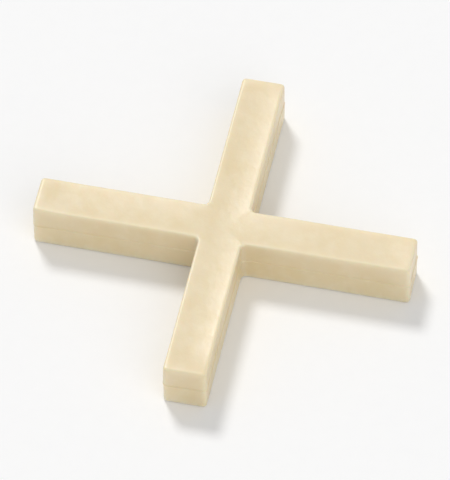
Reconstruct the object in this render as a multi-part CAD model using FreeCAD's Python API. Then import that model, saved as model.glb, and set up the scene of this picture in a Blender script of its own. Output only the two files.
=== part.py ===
import FreeCAD, Part

import math
import os

# Tile spacer: one moulded plastic cross that keeps the joint open between four tiles
# The arms lie along X and Y, the middle of the cross is on the Z axis and the underside is at Z 0

# Driving sizes, lengths in millimetres and the angle in degrees
joint_width = 3.0            # gap kept between two tiles: the width of an arm at the parting line
arm_length = 11.5            # from the side of the crossing arm to the end of an arm
height = 3.4                 # underside to top face
draft_angle = 0.5            # lean of every wall away from the parting line, so that the mould lets go
inner_corner_radius = 0.35   # upright corner between two arms, where the corner of a tile comes
end_corner_radius = 0.3      # upright corners at the end of an arm
face_edge_radius = 0.18      # edges round the top face and the underside
ejector_diameter = 1.5       # round mark that an ejector pin leaves in the underside
ejector_depth = 0.06         # the marks are sunk, so that none stands proud
ejector_margin = 1.2         # from the end of an arm to the rim of its mark
gate_well_diameter = 1.5     # shallow round well in the end of one arm, where the plastic came in
gate_well_depth = 0.25       # from the end of the arm to the floor of the well
gate_stub_diameter = 0.8     # stump of the gate, left in the well when the cross was broken off
gate_stub_gap = 0.1          # the stump ends this far inside the mouth of the well

# Places that follow from the sizes
half_width = joint_width / 2
reach = half_width + arm_length
parting_height = height / 2
wall_lean = parting_height * math.tan(math.radians(draft_angle))
arm_middle = half_width + arm_length / 2

# Directions and the middle of the cross
centre = FreeCAD.Vector(0, 0, 0)
along_x = FreeCAD.Vector(1, 0, 0)
along_y = FreeCAD.Vector(0, 1, 0)
upwards = FreeCAD.Vector(0, 0, 1)


def drafted_bar(half_length, half_breadth):
    """A straight bar that stands on the Z 0 plane, with its four walls leaning in as they rise."""
    bar = Part.makeWedge(
        -half_length, 0, -half_breadth,
        wall_lean - half_breadth, wall_lean - half_length,
        half_length, parting_height, half_breadth,
        half_breadth - wall_lean, half_length - wall_lean,
    )
    # A wedge narrows along Y, so it is turned to narrow upwards
    bar.rotate(centre, along_x, 90)
    return bar


def upright_edges(cross):
    """The edges that run up a wall: first those between two arms, then those at the ends of the arms."""
    upright = [edge for edge in cross.Edges if edge.BoundBox.ZLength > parting_height / 2]
    inner, outer = [], []
    for edge in upright:
        middle = edge.CenterOfMass
        far_out = max(abs(middle.x), abs(middle.y)) > arm_middle
        (outer if far_out else inner).append(edge)
    return inner, outer


def half_cross():
    """The cross from its parting plane up to its top face, standing on the Z 0 plane."""
    cross = drafted_bar(reach, half_width).fuse(drafted_bar(half_width, reach)).removeSplitter()
    between_arms = upright_edges(cross)[0]
    cross = cross.makeFillet(inner_corner_radius, between_arms)
    at_arm_ends = upright_edges(cross)[1]
    cross = cross.makeFillet(end_corner_radius, at_arm_ends)
    top_face = max(cross.Faces, key=lambda face: face.CenterOfMass.z)
    return cross.makeFillet(face_edge_radius, top_face.OuterWire.Edges)


def plain_cross():
    """Both halves of the moulding, which meet at the parting line halfway up the walls."""
    upper = half_cross()
    lower = upper.mirror(centre, upwards)
    cross = upper.fuse(lower)
    cross.translate(upwards * parting_height)
    return cross


def ejector_marks():
    """One round mark under the middle of the cross, and one near the end of each arm."""
    from_centre = reach - ejector_margin - ejector_diameter / 2
    mark = Part.makeCylinder(ejector_diameter / 2, ejector_depth)
    marks = [mark]
    for quarter in range(4):
        end_mark = mark.translated(along_x * from_centre)
        end_mark.rotate(centre, upwards, 90 * quarter)
        marks.append(end_mark)
    return marks


def gate_well():
    """The well in the end of the +Y arm, with the stump of the gate standing in it."""
    floor = FreeCAD.Vector(0, reach - gate_well_depth, parting_height)
    well = Part.makeCylinder(gate_well_diameter / 2, gate_well_depth, floor, along_y)
    stub_length = gate_well_depth - gate_stub_gap
    stub = Part.makeCylinder(gate_stub_diameter / 2, stub_length, floor, along_y)
    return well.cut(stub)


cross = plain_cross().cut(ejector_marks() + [gate_well()])

os.makedirs("parts", exist_ok=True)
cross.exportStep("parts/cross.step")

size = cross.BoundBox
print(f"valid {cross.isValid()}, solids {len(cross.Solids)}, faces {len(cross.Faces)}")
print(f"size {size.XLength:.3f} x {size.YLength:.3f} x {size.ZLength:.3f} mm, volume {cross.Volume:.2f} mm3")
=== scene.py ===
import math

import bmesh
import bpy
import numpy as np
from mathutils import Matrix, Vector, noise


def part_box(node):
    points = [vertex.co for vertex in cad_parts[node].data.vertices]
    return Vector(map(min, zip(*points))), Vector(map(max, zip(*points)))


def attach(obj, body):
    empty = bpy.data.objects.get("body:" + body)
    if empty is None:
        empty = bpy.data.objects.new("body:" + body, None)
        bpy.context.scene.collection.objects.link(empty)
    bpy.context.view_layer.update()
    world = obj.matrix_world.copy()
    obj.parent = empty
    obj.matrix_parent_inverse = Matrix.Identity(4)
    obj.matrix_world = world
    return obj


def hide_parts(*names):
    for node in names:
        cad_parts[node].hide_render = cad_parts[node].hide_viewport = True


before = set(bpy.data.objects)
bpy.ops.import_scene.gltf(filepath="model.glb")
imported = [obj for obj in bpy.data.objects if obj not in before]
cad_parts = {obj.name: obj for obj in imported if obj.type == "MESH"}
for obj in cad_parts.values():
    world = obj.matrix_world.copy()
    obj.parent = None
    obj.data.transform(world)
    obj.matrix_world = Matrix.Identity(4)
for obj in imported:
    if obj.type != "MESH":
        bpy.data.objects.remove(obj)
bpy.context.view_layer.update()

# Tile spacer: one moulded plastic cross, dressed as it comes out of a worn-in mould
# Lengths are in metres, with the arms along X and Y and the underside at Z 0
MM = 0.001

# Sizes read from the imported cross. Half the width of an arm comes from the points of the arms along X
far_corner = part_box("cross")[1]
REACH = far_corner.x             # from the middle of the cross to the end of an arm
HEIGHT = far_corner.z
PARTING = HEIGHT / 2             # height of the line where the mould halves met
HALF_WIDTH = max(abs(v.co.y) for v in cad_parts["cross"].data.vertices if abs(v.co.x) > REACH / 2)

# Draft and radii of the moulding
DRAFT = math.radians(0.5)
INNER_RADIUS = 0.35 * MM         # upright corners between two arms
END_RADIUS = 0.3 * MM            # upright corners at the end of an arm
EDGE_RADIUS = 0.18 * MM          # edges round the top face and the underside

# Hollows that shrinkage leaves
FACE_SINK = 0.075 * MM           # along the middle of an arm's top face and underside
HUB_SINK = 0.060 * MM            # the crossing is thicker, so it sinks this much more
HUB_SPREAD = 1.1 * HALF_WIDTH    # the deeper hollow there fades over this distance
WALL_SINK = 0.050 * MM           # along the middle of a wall
END_SINK_SHARE = 0.6             # an end face sinks by this share of what a wall does
SINK_FADE = 2.2 * MM             # the hollows fade out this far from the end of an arm
END_BAND = 0.3 * MM              # what lies this near to the end of an arm is its end face
WAVINESS = 0.012 * MM            # depth of the slow waves that are all over the skin
PATCH = 2.2 * MM                 # the waviness and the flash change over about this length

# Raised line where the mould halves met
FLASH = 0.045 * MM               # its height where it is highest
FLASH_USUAL = 0.65               # its usual height, as a share of that
FLASH_CHANGE = 0.9               # how far that share goes up and down along the line
FLASH_LEAST = 0.15               # the least that share comes to
FLASH_WIDTH = 0.050 * MM         # it fades over this distance, above and below the line
HALF_SHIFT = Vector((0.035 * MM, -0.045 * MM, 0.0))    # the lower half sat this far off the upper one

# Gate well in the end of the +Y arm, with the torn stump of the gate in it
WELL_RADIUS = 0.75 * MM
WELL_DEPTH = 0.25 * MM
WELL_FLOOR = 0.94                # share of the radius where the bevel round the floor begins
WELL_WALL = 0.85                 # share of the depth where that bevel ends
STUB_RADIUS = 0.4 * MM
STUB_FOOT = 1.08                 # the stump is this many times as wide at its foot
STUB_GAP = 0.1 * MM              # from the mouth of the well to the top of the stump
TORN_DIP = 0.05 * MM             # the depth that TORN_RINGS counts in
TORN_RINGS = ((0, 0), (0.3, 0.4), (0.6, 0), (0.88, 1), (1, 2))    # shares of the radius, and dips deep there
TORN_ROUGHNESS = 0.35 * TORN_DIP    # how far the grain of the torn plastic goes up and down
TORN_GRAIN = 0.12 * MM           # size of that grain

# Ejector marks in the underside
EJECTOR_RADIUS = 0.75 * MM
EJECTOR_DEPTH = 0.06 * MM
EJECTOR_MARGIN = 1.2 * MM        # from the end of an arm to the rim of its mark
EJECTOR_FROM_CENTRE = REACH - EJECTOR_MARGIN - EJECTOR_RADIUS
EJECTOR_FLOOR = 0.95             # share of the radius where the bevel round the floor begins
EJECTOR_BEVEL = 0.4              # share of the depth that this bevel takes up

# How finely the surface is divided
SIDE_STEPS = 68                  # along the side of an arm
INNER_STEPS = 10                 # round half of a corner between two arms
CORNER_STEPS = 5                 # round a corner at the end of an arm, and round a face's edge
END_STEPS = 14                   # across the end of an arm
FACE_STEPS = 8                   # from the edge of a face to its middle line
FACE_CROWDING = 0.35             # how much these steps shorten towards the edge and the middle line
WALL_LEVELS = 11                 # from a face's edge to where the flash begins, with both of these
FLASH_LEVELS = (3.0, 2.2, 1.6, 1.1, 0.7, 0.4, 0.12)    # flash widths from the parting line
ROUND_STEPS = 40                 # round the gate well and an ejector mark
SAME_POINT = 0.001 * MM          # points of the skin that are nearer to each other than this are one
SLIVER = 0.003 * MM              # the same for the points that cutting leaves
SHARP_ANGLE = math.radians(50)   # faces that meet at more than this keep a crisp edge between them

# Painted light beside the moulding's edges: a paler tone that stands in for the highlight and the glow of
# light through the plastic there
EDGE_FADE = 0.3 * MM             # it fades over this distance
EDGE_FALL = 1.3                  # how steeply it fades
NO_EDGE = 9 * MM                 # distance that stands for no edge at all

# Tones of the plastic, from 0 to 255
BODY_TONE = (232, 216, 181)
DEEP_TONE = (228, 210, 170)
MILKY_TONE = (238, 226, 198)
PEBBLE_TONE = (222, 203, 161)
# Painted highlight and glow of light along the edges, not a tone the plastic has
PAINTED_EDGE_LIGHT_TONE = (242, 232, 207)

# Relief of the plastic in millimetres, the range of its roughness, and how light goes into it
GRAIN_HEIGHT = 0.0015
PEBBLE_HEIGHT = 0.005
MILK_HEIGHT = 0.018
SMOOTHEST = 0.285
ROUGHEST = 0.36
TRANSLUCENCY = 0.45
LIGHT_REACH = 0.8 * MM
LIGHT_REACH_SHARES = (1.0, 0.72, 0.42)    # of that distance, for red, green and blue light
REFRACTION = 1.5

# Floor
FLOOR_HALF = 2.0                 # half the length of its side
FLOOR_DROP = 0.01 * MM           # this far below the underside, so that the two never coincide
FLOOR_TOOTH = 900.0              # grains of its tooth to a metre
FLOOR_TONES = ((0.97, 0.97, 0.97, 1.0), (0.99, 0.99, 0.99, 1.0))
FLOOR_ROUGHNESS = 0.95

# The photograph's view: how high the camera stands above the floor, and how far round the cross
VIEW_ELEVATION = math.radians(51)
VIEW_AZIMUTH = math.radians(12)
VIEW_DISTANCE = 0.43             # from the camera to the middle of the cross
PICTURE_HEIGHT = 480
CROSS_IN_PICTURE = 385           # pixels from tip to tip, for an arm that lies across the picture
SENSOR = 36.0                    # millimetres along the picture's longer side, which is its height
CLIP_START = 0.01
CLIP_END = 10

# The room's even light, and how bright the room looks
ROOM_LIGHT = 0.51
ROOM_SEEN = 0.945


def smooth(t):
    """0 to 1 with a flat start and end."""
    t = np.clip(t, 0.0, 1.0)
    return t * t * (3 - 2 * t)


def add_object(name, data):
    """A new object that holds the data, in the scene."""
    obj = bpy.data.objects.new(name, data)
    bpy.context.scene.collection.objects.link(obj)
    return obj


def arc(cx, cy, radius, start, end, steps):
    """Points on an arc, without its last one. Angles are in degrees."""
    angles = np.radians(np.linspace(start, end, steps, endpoint=False))
    return np.stack([cx + radius * np.cos(angles), cy + radius * np.sin(angles)], axis=1)


def line(x0, y0, x1, y1, steps):
    """Points on a straight line, without its last one."""
    t = np.linspace(0, 1, steps, endpoint=False)[:, None]
    return np.array([[x0, y0]]) * (1 - t) + np.array([[x1, y1]]) * t


def arm_outline(inset):
    """The +X arm's share of the outline, from the corner before it to the corner after it."""
    half = HALF_WIDTH - inset
    end = REACH - inset
    corner = HALF_WIDTH + INNER_RADIUS
    inner = INNER_RADIUS + inset
    outer = END_RADIUS - inset
    return np.concatenate([
        arc(corner, -corner, inner, 135, 90, INNER_STEPS),
        line(corner, -half, end - outer, -half, SIDE_STEPS),
        arc(end - outer, outer - half, outer, -90, 0, CORNER_STEPS),
        line(end, outer - half, end, half - outer, END_STEPS),
        arc(end - outer, half - outer, outer, 0, 90, CORNER_STEPS),
        line(end - outer, half, corner, half, SIDE_STEPS),
        arc(corner, corner, inner, 270, 225, INNER_STEPS),
    ])


def arm_spine():
    """For each point of arm_outline, the point of the arm's middle line that the face runs in to."""
    corner = HALF_WIDTH + INNER_RADIUS
    last = REACH - HALF_WIDTH
    outward = arm_outline(EDGE_RADIUS)[:, 0]
    x = np.minimum(outward, last)
    x[:INNER_STEPS] = np.linspace(0, corner, INNER_STEPS, endpoint=False)
    x[-INNER_STEPS:] = np.linspace(corner, 0, INNER_STEPS, endpoint=False)
    return np.stack([x, np.zeros_like(x)], axis=1)


def all_round(quarter):
    """The same points for the four arms, one after the other."""
    turned = []
    for turn in range(4):
        a = turn * math.pi / 2
        turned.append(quarter @ np.array([[math.cos(a), math.sin(a)], [-math.sin(a), math.cos(a)]]))
    return np.concatenate(turned)


def wall_lean(z):
    """How far draft has brought the wall in at height z."""
    return abs(z - PARTING) * math.tan(DRAFT)


def skin_rings():
    """The closed skin as rings of points, from the middle of the underside up to the middle of the top."""
    rings = []
    spine = all_round(arm_spine())
    face_edge = all_round(arm_outline(wall_lean(HEIGHT) + EDGE_RADIUS))

    def add_ring(flat, z):
        """One ring of points at height z."""
        rings.append(np.column_stack([flat, np.full(len(flat), z)]))

    def add_face(z, shares):
        """Rings of a flat face, each at its share of the way from the edge to the middle line."""
        for share in shares:
            add_ring(face_edge * (1 - share) + spine * share, z)

    def add_level(inset, z):
        """The ring round the walls at height z, this far inside the widest outline."""
        add_ring(all_round(arm_outline(inset)), z)

    steps = [i / FACE_STEPS for i in range(1, FACE_STEPS + 1)]
    inward = [FACE_CROWDING * smooth(t) + (1 - FACE_CROWDING) * t for t in steps]
    turns = [math.radians(90 * i / CORNER_STEPS) for i in range(CORNER_STEPS + 1)]
    edge = [(EDGE_RADIUS * (1 - math.sin(a)), EDGE_RADIUS * (1 - math.cos(a))) for a in turns]
    flash_start = PARTING - FLASH_LEVELS[0] * FLASH_WIDTH
    heights = list(np.linspace(EDGE_RADIUS, flash_start, WALL_LEVELS)[1:-1])
    heights += [PARTING - widths * FLASH_WIDTH for widths in FLASH_LEVELS]

    add_face(0.0, reversed(inward))
    for inset, rise in edge:
        add_level(wall_lean(0) + inset, rise)
    for z in heights:
        add_level(wall_lean(z), z)
    for z in reversed(heights):
        add_level(wall_lean(z), HEIGHT - z)
    for inset, rise in reversed(edge):
        add_level(wall_lean(HEIGHT) + inset, HEIGHT - rise)
    add_face(HEIGHT, inward)
    return rings


def skin_mesh(name):
    """The closed skin of the cross as a mesh."""
    rings = skin_rings()
    around = len(rings[0])
    points = np.concatenate(rings)
    faces = []
    for ring in range(len(rings) - 1):
        low = ring * around
        high = low + around
        for i in range(around):
            j = (i + 1) % around
            faces.append((low + i, low + j, high + j, high + i))
    mesh = bpy.data.meshes.new(name)
    mesh.from_pydata(points.tolist(), [], faces)
    work = bmesh.new()
    work.from_mesh(mesh)
    bmesh.ops.remove_doubles(work, verts=work.verts, dist=SAME_POINT)
    bmesh.ops.recalc_face_normals(work, faces=work.faces)
    work.to_mesh(mesh)
    work.free()
    return mesh


def sink_depth(point, normal):
    """How far the plastic has shrunk inwards at a point of the skin."""
    across = min(abs(point.x), abs(point.y)) / HALF_WIDTH
    along = max(abs(point.x), abs(point.y))
    up = (point.z - PARTING) / (HEIGHT / 2)
    on_face = normal.z ** 2
    on_end = smooth(1 - (REACH - along) / END_BAND)
    before_end = smooth((REACH - along) / SINK_FADE)
    over_arm = max(0.0, 1 - across ** 2)
    crossing = math.exp(-(along / HUB_SPREAD) ** 2)
    face = FACE_SINK * over_arm * before_end + HUB_SINK * crossing
    wall = WALL_SINK * max(0.0, 1 - up ** 2) * (before_end + END_SINK_SHARE * on_end * over_arm)
    return face * on_face + wall * (1 - on_face)


def flash_height(point):
    """How far the line between the mould halves stands out, which differs from place to place."""
    off_line = (point.z - PARTING) / FLASH_WIDTH
    strength = FLASH_USUAL + FLASH_CHANGE * noise.noise(point / PATCH)
    return FLASH * math.exp(-off_line ** 2) * min(max(strength, FLASH_LEAST), 1.0)


def shape_skin(mesh):
    """Moves every point: sink, flash and slight waviness along its normal, and the shift of a mould half."""
    moved = []
    for vertex in mesh.vertices:
        point, normal = vertex.co.copy(), vertex.normal.copy()
        out = flash_height(point) * (1 - normal.z ** 2) - sink_depth(point, normal)
        out -= WAVINESS * 0.5 * (1 + noise.noise(point / PATCH))
        lower = smooth(0.5 - (point.z - PARTING) / FLASH_WIDTH)
        moved.append(point + normal * out + HALF_SHIFT * (lower - 0.5))
    for vertex, place in zip(mesh.vertices, moved):
        vertex.co = place


def lathe(name, profile, roughness=0.0):
    """A closed solid turned about Z from (radius, height) pairs, whose first and last radius are 0."""
    work = bmesh.new()
    rings = []
    for radius, z in profile:
        if radius == 0:
            rings.append([work.verts.new((0, 0, z))])
            continue
        ring = []
        for i in range(ROUND_STEPS):
            a = 2 * math.pi * i / ROUND_STEPS
            point = Vector((math.cos(a) * radius, math.sin(a) * radius, z))
            rough = roughness * noise.noise(point / TORN_GRAIN)
            ring.append(work.verts.new((point.x, point.y, z + rough)))
        rings.append(ring)
    for low, high in zip(rings, rings[1:]):
        for i in range(ROUND_STEPS):
            j = (i + 1) % ROUND_STEPS
            corners = [low[i % len(low)], low[j % len(low)], high[j % len(high)], high[i % len(high)]]
            # A ring of one point gives triangles, so a corner that comes twice is taken once
            work.faces.new(list(dict.fromkeys(corners)))
    bmesh.ops.recalc_face_normals(work, faces=work.faces)
    mesh = bpy.data.meshes.new(name)
    work.to_mesh(mesh)
    work.free()
    return add_object(name, mesh)


def gate_cutter():
    """The well in the end of the +Y arm, with the torn stump of the gate left standing in it."""
    torn_top = [(STUB_RADIUS * share, STUB_GAP + TORN_DIP * dips) for share, dips in TORN_RINGS]
    profile = torn_top + [
        (STUB_RADIUS * STUB_FOOT, WELL_DEPTH),
        (WELL_RADIUS * WELL_FLOOR, WELL_DEPTH),
        (WELL_RADIUS, WELL_DEPTH * WELL_WALL),
        (WELL_RADIUS, -WELL_DEPTH),
        (0, -WELL_DEPTH),
    ]
    cutter = lathe("gate_cutter", profile, roughness=TORN_ROUGHNESS)
    into_arm = Matrix.Rotation(math.radians(90), 4, "X")
    cutter.matrix_world = Matrix.Translation((0, REACH, PARTING)) @ into_arm
    return cutter


def ejector_cutter(x, y):
    """A flat round mark in the underside, as deep as a pin has pressed it below the sunk face there."""
    floor = sink_depth(Vector((x, y, 0)), Vector((0, 0, -1))) + EJECTOR_DEPTH
    profile = [
        (0, floor),
        (EJECTOR_RADIUS * EJECTOR_FLOOR, floor),
        (EJECTOR_RADIUS, floor - EJECTOR_DEPTH * EJECTOR_BEVEL),
        (EJECTOR_RADIUS, -EJECTOR_DEPTH),
        (0, -EJECTOR_DEPTH),
    ]
    cutter = lathe("ejector_cutter", profile)
    cutter.matrix_world = Matrix.Translation((x, y, 0))
    return cutter


def close_slivers(mesh):
    """Merges the points that cutting leaves all but touching, and splits the many-sided faces at the rims."""
    work = bmesh.new()
    work.from_mesh(mesh)
    bmesh.ops.remove_doubles(work, verts=work.verts, dist=SLIVER)
    bmesh.ops.dissolve_degenerate(work, edges=work.edges, dist=SLIVER)
    bmesh.ops.triangulate(work, faces=[face for face in work.faces if len(face.verts) > 4])
    work.to_mesh(mesh)
    work.free()


def cut(obj, cutters):
    """Takes the cutters out of the object, and removes them."""
    for cutter in cutters:
        modifier = obj.modifiers.new("cut", "BOOLEAN")
        modifier.operation = "DIFFERENCE"
        modifier.solver = "EXACT"
        modifier.object = cutter
    bpy.context.view_layer.update()
    graph = bpy.context.evaluated_depsgraph_get()
    made = bpy.data.meshes.new_from_object(obj.evaluated_get(graph))
    obj.modifiers.clear()
    old, obj.data = obj.data, made
    bpy.data.meshes.remove(old)
    for cutter in cutters:
        bpy.data.objects.remove(cutter)
    close_slivers(made)


def mark_painted_edge_light(mesh):
    """Stores how near each point lies to an edge of the moulding, for the material's painted highlight and
    glow along the edges.
    """
    values = []
    for vertex in mesh.vertices:
        x, y, z = vertex.co
        across, along = min(abs(x), abs(y)), max(abs(x), abs(y))
        to_wall = abs(HALF_WIDTH - across) if along > HALF_WIDTH else NO_EDGE
        to_face = abs(HEIGHT / 2 - abs(z - PARTING))
        to_end = abs(REACH - along)
        # An edge is near where two of these surfaces are, so the second smallest distance counts
        to_edge = sorted((to_wall, to_face, to_end))[1]
        values.append(math.exp(-(to_edge / EDGE_FADE) ** EDGE_FALL))
    attribute = mesh.attributes.new("painted_edge_light", "FLOAT", "POINT")
    attribute.data.foreach_set("value", values)


def make_cross():
    """The whole moulding: skin, shrinkage, gate well and ejector marks."""
    mesh = skin_mesh("spacer_cross")
    shape_skin(mesh)
    cross = add_object("spacer_cross", mesh)
    far = EJECTOR_FROM_CENTRE
    ejector_places = ((0, 0), (far, 0), (-far, 0), (0, far), (0, -far))
    cut(cross, [gate_cutter()] + [ejector_cutter(x, y) for x, y in ejector_places])
    # Where the material paints a highlight and glow along the edges
    mark_painted_edge_light(cross.data)
    cross.data.shade_smooth()
    cross.data.set_sharp_from_angle(angle=SHARP_ANGLE)
    cross.data.materials.append(natural_plastic())
    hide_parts("cross")
    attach(cross, "root")


class Nodes:
    """A short way to write a material's node tree."""

    def __init__(self, name):
        self.material = bpy.data.materials.new(name)
        self.material.use_nodes = True
        self.tree = self.material.node_tree
        self.tree.nodes.clear()

    def fill(self, socket, value):
        """Links an output to the socket, or sets the socket to a plain value."""
        if isinstance(value, bpy.types.NodeSocket):
            self.tree.links.new(value, socket)
        else:
            socket.default_value = value

    def add(self, kind, settings=None, **inputs):
        """A node with its inputs filled. An input is named by its name, or by _ and its number."""
        node = self.tree.nodes.new(kind)
        for key, value in (settings or {}).items():
            setattr(node, key, value)
        for key, value in inputs.items():
            socket = node.inputs[int(key[1:])] if key[0] == "_" else node.inputs[key.replace("_", " ")]
            self.fill(socket, value)
        return node

    def math(self, operation, a, b=0.0, c=0.0):
        """The result of a sum or a product."""
        return self.add("ShaderNodeMath", {"operation": operation}, _0=a, _1=b, _2=c).outputs[0]

    def spread(self, value, low, high, to_low=0.0, to_high=1.0):
        """The value with its range from low to high stretched to another range, and held within it."""
        limits = {"From_Min": low, "From_Max": high, "To_Min": to_low, "To_Max": to_high}
        return self.add("ShaderNodeMapRange", {"clamp": True}, Value=value, **limits).outputs[0]

    def noise(self, vector, scale, detail=2.0, roughness=0.5):
        """Soft random patches, scale of them to a unit of length."""
        inputs = {"Scale": scale, "Detail": detail, "Roughness": roughness}
        return self.add("ShaderNodeTexNoise", None, Vector=vector, **inputs).outputs["Fac"]

    def mix(self, factor, a, b):
        """Colour a where the factor is 0, and colour b where it is 1."""
        return self.add("ShaderNodeMix", {"data_type": "RGBA"}, _0=factor, _6=a, _7=b).outputs[2]

    def finish(self, shader):
        """The material, with the shader as its surface."""
        self.add("ShaderNodeOutputMaterial", None, Surface=shader.outputs[0])
        return self.material


def srgb(r, g, b):
    """A colour from its 0 to 255 values, as a linear colour with alpha."""
    shares = (r / 255, g / 255, b / 255)
    linear = [c / 12.92 if c <= 0.04045 else ((c + 0.055) / 1.055) ** 2.4 for c in shares]
    return (*linear, 1.0)


def natural_plastic():
    """Natural cream polyolefin: waxy, slightly translucent, with a fine spark eroded grain."""
    n = Nodes("natural_plastic")
    place = n.add("ShaderNodeTexCoord").outputs["Object"]
    in_mm = n.add("ShaderNodeVectorMath", {"operation": "SCALE"}, _0=place, Scale=1 / MM).outputs[0]
    cloud = n.noise(in_mm, scale=0.30)
    milk = n.noise(in_mm, scale=1.1, detail=3.0)
    pebble = n.noise(in_mm, scale=3.4, roughness=0.55)
    grain = n.noise(in_mm, scale=15.0, roughness=0.6)

    # Two close tones in large clouds, milky and pebbled patches over them, and a paler tone along the edges,
    # which is painted highlight and glow of light through the plastic
    colour = n.mix(n.spread(cloud, low=0.35, high=0.65), srgb(*BODY_TONE), srgb(*DEEP_TONE))
    colour = n.mix(n.spread(milk, low=0.45, high=0.75, to_high=0.35), colour, srgb(*MILKY_TONE))
    colour = n.mix(n.spread(pebble, low=0.52, high=0.80, to_high=0.12), colour, srgb(*PEBBLE_TONE))
    # Painted highlight and glow of light through the plastic along the edges
    painted_edge_light = n.add("ShaderNodeAttribute", {"attribute_name": "painted_edge_light"}).outputs["Fac"]
    colour = n.mix(n.spread(painted_edge_light, low=0.0, high=1.0, to_high=0.5), colour, srgb(*PAINTED_EDGE_LIGHT_TONE))

    # The slow swell of the shrunk plastic, and the grain of the mould
    height = n.math("MULTIPLY", grain, GRAIN_HEIGHT)
    height = n.math("MULTIPLY_ADD", pebble, PEBBLE_HEIGHT, height)
    height = n.math("MULTIPLY_ADD", milk, MILK_HEIGHT, height)
    bump = n.add("ShaderNodeBump", None, Height=height, Strength=1.0, Distance=MM)

    # Patches that shine a little more or less, which follow the pebbles and the milkiness by half each
    patches = n.math("MULTIPLY_ADD", pebble, 0.5, n.math("MULTIPLY", milk, 0.5))
    roughness = n.spread(patches, low=0.35, high=0.65, to_low=SMOOTHEST, to_high=ROUGHEST)
    shader = n.add("ShaderNodeBsdfPrincipled", None, Base_Color=colour, Roughness=roughness,
                   Normal=bump.outputs[0], IOR=REFRACTION)
    shader.inputs["Subsurface Weight"].default_value = TRANSLUCENCY
    shader.inputs["Subsurface Radius"].default_value = LIGHT_REACH_SHARES
    shader.inputs["Subsurface Scale"].default_value = LIGHT_REACH
    return n.finish(shader)


def floor_material():
    """Matt white paper with a barely visible tooth."""
    n = Nodes("floor_paper")
    place = n.add("ShaderNodeTexCoord").outputs["Object"]
    tooth = n.noise(place, scale=FLOOR_TOOTH, detail=3.0, roughness=0.6)
    colour = n.mix(tooth, *FLOOR_TONES)
    shader = n.add("ShaderNodeBsdfPrincipled", None, Base_Color=colour, Roughness=FLOOR_ROUGHNESS)
    shader.inputs["Specular IOR Level"].default_value = 0.0
    return n.finish(shader)


def make_floor():
    """A plain pale floor under the cross."""
    corners = [(-1, -1), (1, -1), (1, 1), (-1, 1)]
    mesh = bpy.data.meshes.new("floor")
    mesh.from_pydata([(x * FLOOR_HALF, y * FLOOR_HALF, 0) for x, y in corners], [], [(0, 1, 2, 3)])
    mesh.materials.append(floor_material())
    floor = add_object("floor", mesh)
    floor.location.z = -FLOOR_DROP


def away(azimuth, elevation):
    """The direction from the object towards a camera or a lamp there."""
    return Vector((
        math.sin(azimuth) * math.cos(elevation),
        -math.cos(azimuth) * math.cos(elevation),
        math.sin(elevation),
    ))


def look_back(obj, outward):
    """Turns a camera or a lamp so that it looks the opposite way to outward."""
    obj.rotation_mode = "QUATERNION"
    obj.rotation_quaternion = (-outward).to_track_quat("-Z", "Y")


def make_camera():
    """The camera, which frames the cross as CROSS_IN_PICTURE says."""
    data = bpy.data.cameras.new("camera")
    camera = add_object("camera", data)
    outward = away(VIEW_AZIMUTH, VIEW_ELEVATION)
    middle = Vector((0, 0, PARTING))
    camera.location = middle + outward * VIEW_DISTANCE
    look_back(camera, outward)
    focal = VIEW_DISTANCE * CROSS_IN_PICTURE / (2 * REACH)
    data.sensor_width = SENSOR
    data.lens = SENSOR * focal / PICTURE_HEIGHT
    data.clip_start = CLIP_START
    data.clip_end = CLIP_END
    bpy.context.scene.camera = camera


def lamp(name, azimuth, elevation, spread, level):
    """A far soft lamp, with its angles in degrees. A white surface that faces it gets that level from it."""
    data = bpy.data.lights.new(name, "SUN")
    data.angle = math.radians(spread)
    data.energy = math.pi * level
    look_back(add_object(name, data), away(math.radians(azimuth), math.radians(elevation)))


def make_world():
    """An even white room. Seen by the camera or in a reflection it is as bright as the floor."""
    world = bpy.data.worlds.new("studio")
    world.use_nodes = True
    tree = world.node_tree
    background = tree.nodes["Background"]
    background.inputs["Color"].default_value = (1.0, 1.0, 1.0, 1.0)
    rays = tree.nodes.new("ShaderNodeLightPath")
    seen = rays.outputs["Is Camera Ray"]
    for kind in ("Is Glossy Ray", "Is Transmission Ray"):
        either = tree.nodes.new("ShaderNodeMath")
        either.operation = "MAXIMUM"
        tree.links.new(seen, either.inputs[0])
        tree.links.new(rays.outputs[kind], either.inputs[1])
        seen = either.outputs[0]
    strength = tree.nodes.new("ShaderNodeMapRange")
    tree.links.new(seen, strength.inputs["Value"])
    strength.inputs["To Min"].default_value = ROOM_LIGHT
    strength.inputs["To Max"].default_value = ROOM_SEEN
    tree.links.new(strength.outputs[0], background.inputs["Strength"])
    bpy.context.scene.world = world


make_cross()
make_floor()
make_camera()
make_world()
lamp("key", azimuth=-146, elevation=52, spread=14, level=0.42)
lamp("fill", azimuth=40, elevation=38, spread=60, level=0.20)
bpy.context.scene.view_settings.view_transform = "Standard"
